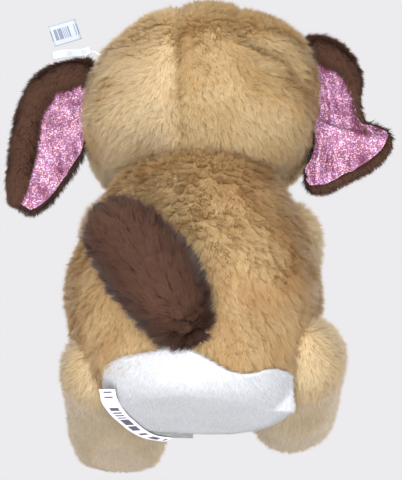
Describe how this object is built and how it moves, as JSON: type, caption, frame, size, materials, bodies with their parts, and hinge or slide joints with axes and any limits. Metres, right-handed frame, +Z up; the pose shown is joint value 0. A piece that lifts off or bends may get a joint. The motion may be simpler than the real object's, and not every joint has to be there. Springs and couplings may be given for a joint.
{
  "type": "interactive plush pet",
  "caption": "Sitting plush puppy with floppy shiny-lined ears, a fluffy wagging tail, a turning head and a hook-and-loop seat flap over the battery box.",
  "frame": {"origin": "on the flat underside of the seat, under the body, between the hips", "axes": "+Z up with the puppy sitting, the face looks along -Y, and the puppy's left is +X"},
  "size_m": [0.291, 0.297, 0.3296],
  "materials": {
    "tan_plush": "long soft pile, brushed",
    "brown_plush": "long soft pile",
    "white_plush": "short smooth pile",
    "cream_plush": "short soft pile",
    "pink_foil": "foil printed satin with holographic sparkle",
    "grey_tape": "hook and loop tape",
    "label_satin": "woven satin ribbon with plain printed bars",
    "eye_plastic": "polished",
    "nose_plastic": "lightly grained",
    "washer_plastic": "moulded",
    "tag_card": "coated card with plain bars",
    "strip_paper": "smooth paper",
    "clear_nylon": "thin nylon loop",
    "housing_plastic": "fine moulded grain",
    "screw_steel": "zinc plated",
    "battery_wrap": "printed sleeve, no mark",
    "contact_steel": "nickel plated spring strip",
    "board_green": "solder mask",
    "chip_black": "moulded package",
    "speaker_frame": "black coated frame",
    "button_plastic": "moulded",
    "switch_plastic": "moulded, ribbed",
    "motor_can": "drawn can",
    "shaft_steel": "ground",
    "gear_nylon": "moulded nylon",
    "bush_brass": "turned"
  },
  "bodies": {
    "torso": {"body_plush": "tan_plush", "seat_panel": "white_plush", "body_loop_tape": "grey_tape", "care_label": "label_satin", "tail_gearmotor": "motor_can", "front_housing": "housing_plastic", "rear_housing": "housing_plastic", "housing_screws": "screw_steel", "battery_door": "housing_plastic", "battery_door_screw": "screw_steel", "batteries": "battery_wrap", "battery_contacts": "contact_steel", "circuit_board": "board_green", "board_parts": "chip_black", "speaker": "speaker_frame", "button_switch": "switch_plastic", "switch_body": "chip_black", "gear_plate": "housing_plastic", "plate_screws": "screw_steel", "neck_motor": "motor_can", "compound_axle": "shaft_steel", "neck_bush": "bush_brass"},
    "head": {"head_plush": "tan_plush", "muzzle": "cream_plush", "nose": "nose_plastic", "eyes": "eye_plastic", "eye_washers": "washer_plastic", "hang_tag": "tag_card", "tag_strip": "strip_paper", "tag_fastener": "clear_nylon", "neck_gear": "gear_nylon", "neck_shaft": "shaft_steel", "head_frame": "housing_plastic"},
    "compound": {"compound_gear": "gear_nylon"},
    "pinion": {"motor_shaft": "shaft_steel", "motor_pinion": "gear_nylon"},
    "tail": {"tail_plush": "brown_plush", "tail_stem": "washer_plastic", "tail_hub": "gear_nylon", "tail_shaft": "shaft_steel"},
    "left_ear": {"ear_left": "brown_plush", "ear_lining_left": "pink_foil"},
    "right_ear": {"ear_right": "brown_plush", "ear_lining_right": "pink_foil"},
    "left_arm": {"arm_left": "tan_plush"},
    "right_arm": {"arm_right": "tan_plush"},
    "left_leg": {"leg_left": "tan_plush"},
    "right_leg": {"leg_right": "tan_plush"},
    "flap": {"seat_flap": "white_plush", "flap_hook_tape": "grey_tape"},
    "button": {"chest_button": "button_plastic"},
    "switch_knob": {"power_switch": "switch_plastic"}
  },
  "joints": [
    {"name": "neck_turn", "type": "hinge", "parent": "torso", "child": "head", "pos_m": [0, -0.01, 0.13], "axis": [0, 0, 1], "range_deg": [-30, 30]},
    {"name": "compound_turn", "type": "hinge", "parent": "torso", "child": "compound", "pos_m": [-0.00621, 0.01318, 0.125], "axis": [0, 0, 1], "range_deg": [-120, 120]},
    {"name": "pinion_turn", "type": "hinge", "parent": "torso", "child": "pinion", "pos_m": [0.00339, 0.02981, 0.125], "axis": [0, 0, 1], "range_deg": [-360, 360]},
    {"name": "tail_wag", "type": "hinge", "parent": "torso", "child": "tail", "pos_m": [0, 0.081, 0.042], "axis": [0, 1, 0], "range_deg": [-84, 6]},
    {"name": "ear_left_lift", "type": "hinge", "parent": "head", "child": "left_ear", "pos_m": [0.086, -0.0075, 0.287], "axis": [0, -1, 0], "range_deg": [0, 40]},
    {"name": "ear_right_lift", "type": "hinge", "parent": "head", "child": "right_ear", "pos_m": [-0.086, -0.0075, 0.29], "axis": [0, 1, 0], "range_deg": [0, 40]},
    {"name": "arm_left_swing", "type": "hinge", "parent": "torso", "child": "left_arm", "pos_m": [0.062, -0.022, 0.151], "axis": [-1, 0, 0], "range_deg": [-4, 24]},
    {"name": "arm_right_swing", "type": "hinge", "parent": "torso", "child": "right_arm", "pos_m": [-0.066, -0.022, 0.151], "axis": [-1, 0, 0], "range_deg": [-4, 24]},
    {"name": "leg_left_swing", "type": "hinge", "parent": "torso", "child": "left_leg", "pos_m": [0.067, 0.002, 0.035], "axis": [0, 0, 1], "range_deg": [-2, 14]},
    {"name": "leg_right_swing", "type": "hinge", "parent": "torso", "child": "right_leg", "pos_m": [-0.074, 0.002, 0.035], "axis": [0, 0, -1], "range_deg": [-2, 14]},
    {"name": "flap_open", "type": "hinge", "parent": "torso", "child": "flap", "pos_m": [0, 0.04, 0], "axis": [1, 0, 0], "range_deg": [0, 100]},
    {"name": "button_press", "type": "slide", "parent": "torso", "child": "button", "axis": [0, 1, 0], "range_m": [0, 0.002], "stiffness_N_per_m": 300, "springref_m": -0.001},
    {"name": "switch_slide", "type": "slide", "parent": "torso", "child": "switch_knob", "axis": [1, 0, 0], "range_m": [0, 0.004]}
  ],
  "couplings": [
    {"joint": "compound_turn", "follows": "neck_turn", "ratio": -4},
    {"joint": "pinion_turn", "follows": "neck_turn", "ratio": 12}
  ]
}
